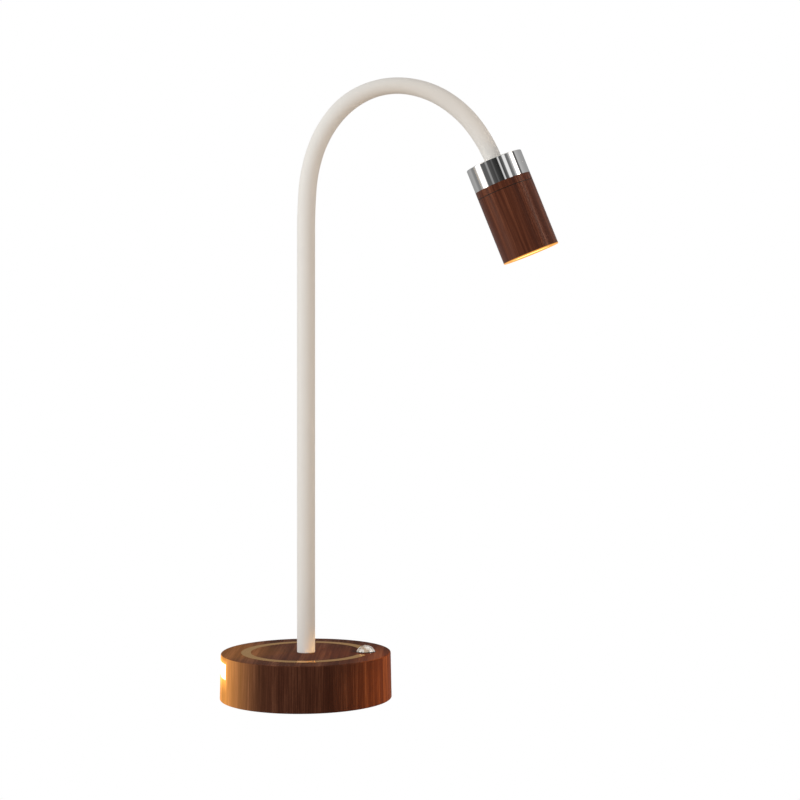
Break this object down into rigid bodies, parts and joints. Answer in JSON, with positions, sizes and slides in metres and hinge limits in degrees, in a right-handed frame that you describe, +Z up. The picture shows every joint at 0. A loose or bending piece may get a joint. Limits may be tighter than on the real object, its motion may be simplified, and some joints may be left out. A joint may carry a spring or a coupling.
{
  "type": "led desk lamp",
  "caption": "Cordless desk lamp: round wooden base with a brass arc, a dome button and a lit window, a white arm with a flexible arched neck, and a small chrome and wood spot head.",
  "frame": {"origin": "middle of the pad's underside, on the pole's axis", "axes": "+Z up along the pole, +X from the pole towards the head, +Y towards the charge opening"},
  "size_m": [0.2395, 0.1214, 0.4409],
  "materials": {
    "walnut": "dark walnut, satin varnish",
    "inlay_brass": "brushed flat brass",
    "white_silicone": "smooth matt silicone",
    "polished_chrome": "polished",
    "seam_black": "dark matt ring",
    "crystal": "clear, slightly milky",
    "opal_window": "opal, lit from behind",
    "pad_rubber": "matt",
    "steel": "plain steel",
    "machined_brass": "turned brass",
    "machined_aluminium": "turned aluminium",
    "board_green": "solder mask",
    "white_plastic": "moulded",
    "black_plastic": "moulded",
    "cell_wrap": "shrink sleeve",
    "lead_insulation": "soft insulation",
    "nylon": "natural nylon",
    "phosphor": "warm white phosphor",
    "mirror_coat": "vapour coated",
    "clear_lens": "clear",
    "liner_white": "satin white"
  },
  "bodies": {
    "base": {"base_housing": "walnut", "brass_inlay": "inlay_brass", "window_diffuser": "opal_window", "light_box": "white_plastic", "window_strip": "board_green", "window_diodes": "phosphor", "base_pad": "pad_rubber", "bottom_plate": "steel", "plate_screws": "steel", "ballast_weight": "steel", "control_board": "board_green", "charge_board": "board_green", "board_spacers": "nylon", "board_screws": "steel", "push_switch": "black_plastic", "board_parts": "black_plastic", "charge_socket": "steel", "battery_cell": "cell_wrap", "battery_cradle": "black_plastic", "base_leads": "lead_insulation", "pole_bush": "machined_brass", "stop_pin": "steel", "thrust_washer": "nylon", "button_cup": "black_plastic", "ceiling_screws": "steel", "button_spring": "steel"},
    "dome": {"dome_button": "crystal", "button_plunger": "white_plastic"},
    "arm": {"pole_tube": "steel", "pole_collar": "machined_aluminium", "stop_washer": "steel", "spring_washer": "steel", "lock_nut": "steel", "neck_root": "machined_aluminium", "arm_sleeve": "white_silicone", "lamp_cable": "lead_insulation"},
    "link_1": {"neck_link_1": "machined_aluminium"},
    "link_2": {"neck_link_2": "machined_aluminium"},
    "link_3": {"neck_link_3": "machined_aluminium"},
    "link_4": {"neck_link_4": "machined_aluminium"},
    "link_5": {"neck_link_5": "machined_aluminium"},
    "link_6": {"neck_link_6": "machined_aluminium"},
    "link_7": {"neck_link_7": "machined_aluminium"},
    "head": {"neck_end": "machined_aluminium", "chrome_cap": "polished_chrome", "wood_collar": "walnut", "seam_ring": "seam_black", "wood_shade": "walnut", "head_core": "machined_aluminium", "head_washer": "steel", "head_nut": "steel", "heat_sink": "machined_aluminium", "chip_board": "machined_aluminium", "light_chip": "phosphor", "reflector": "mirror_coat", "lens": "clear_lens", "lens_ring": "machined_aluminium", "shade_liner": "liner_white"}
  },
  "joints": [
    {"name": "arm_swivel", "type": "hinge", "parent": "base", "child": "arm", "pos_m": [0, 0, 0.0326], "axis": [0, 0, 1], "range_deg": [-164, 164]},
    {"name": "neck_bend_1", "type": "hinge", "parent": "arm", "child": "link_1", "pos_m": [0, 0, 0.3322], "axis": [0, 1, 0.0001], "range_deg": [-2.16, 0.39], "deforming": ["arm_sleeve", "lamp_cable"]},
    {"name": "neck_bend_2", "type": "hinge", "parent": "link_1", "child": "link_2", "pos_m": [0.00107, 0, 0.36067], "axis": [0, 1, 0.0001], "range_deg": [-9.53, 1.67], "deforming": ["arm_sleeve", "lamp_cable"]},
    {"name": "neck_bend_3", "type": "hinge", "parent": "link_2", "child": "link_3", "pos_m": [0.00683, 0, 0.3885], "axis": [0, 1, 0.0001], "range_deg": [-17.48, 3.08], "deforming": ["arm_sleeve", "lamp_cable"]},
    {"name": "neck_bend_4", "type": "hinge", "parent": "link_3", "child": "link_4", "pos_m": [0.02066, 0, 0.41325], "axis": [0, 1, 0.0001], "range_deg": [-24.01, 4.22], "deforming": ["arm_sleeve", "lamp_cable"]},
    {"name": "neck_bend_5", "type": "hinge", "parent": "link_4", "child": "link_5", "pos_m": [0.04328, 0, 0.43014], "axis": [0, 1, 0.0001], "range_deg": [-28.5, 5.01], "deforming": ["arm_sleeve", "lamp_cable"]},
    {"name": "neck_bend_6", "type": "hinge", "parent": "link_5", "child": "link_6", "pos_m": [0.07118, 0, 0.43416], "axis": [0, 1, 0.0001], "range_deg": [-27.11, 4.76], "deforming": ["arm_sleeve", "lamp_cable"]},
    {"name": "neck_bend_7", "type": "hinge", "parent": "link_6", "child": "link_7", "pos_m": [0.09792, 0, 0.42498], "axis": [0, 1, 0.0001], "range_deg": [-22.97, 4.04], "deforming": ["arm_sleeve", "lamp_cable"]},
    {"name": "neck_bend_8", "type": "hinge", "parent": "link_7", "child": "head", "pos_m": [0.119, 0, 0.40603], "axis": [0, 1, 0.0001], "range_deg": [-18.28, 3.22], "deforming": ["arm_sleeve", "lamp_cable"]},
    {"name": "dome_press", "type": "slide", "parent": "base", "child": "dome", "axis": [0, 0, -1], "range_m": [0, 0.0012], "stiffness_N_per_m": 600, "springref_m": -0.003, "deforming": ["button_spring"]}
  ],
  "couplings": [
    {"joint": "neck_bend_1", "follows": "neck_bend_2", "ratio": 0.2251},
    {"joint": "neck_bend_3", "follows": "neck_bend_2", "ratio": 1.8325},
    {"joint": "neck_bend_4", "follows": "neck_bend_2", "ratio": 2.5183},
    {"joint": "neck_bend_5", "follows": "neck_bend_2", "ratio": 2.9895},
    {"joint": "neck_bend_6", "follows": "neck_bend_2", "ratio": 2.8429},
    {"joint": "neck_bend_7", "follows": "neck_bend_2", "ratio": 2.4084},
    {"joint": "neck_bend_8", "follows": "neck_bend_2", "ratio": 1.9162}
  ]
}
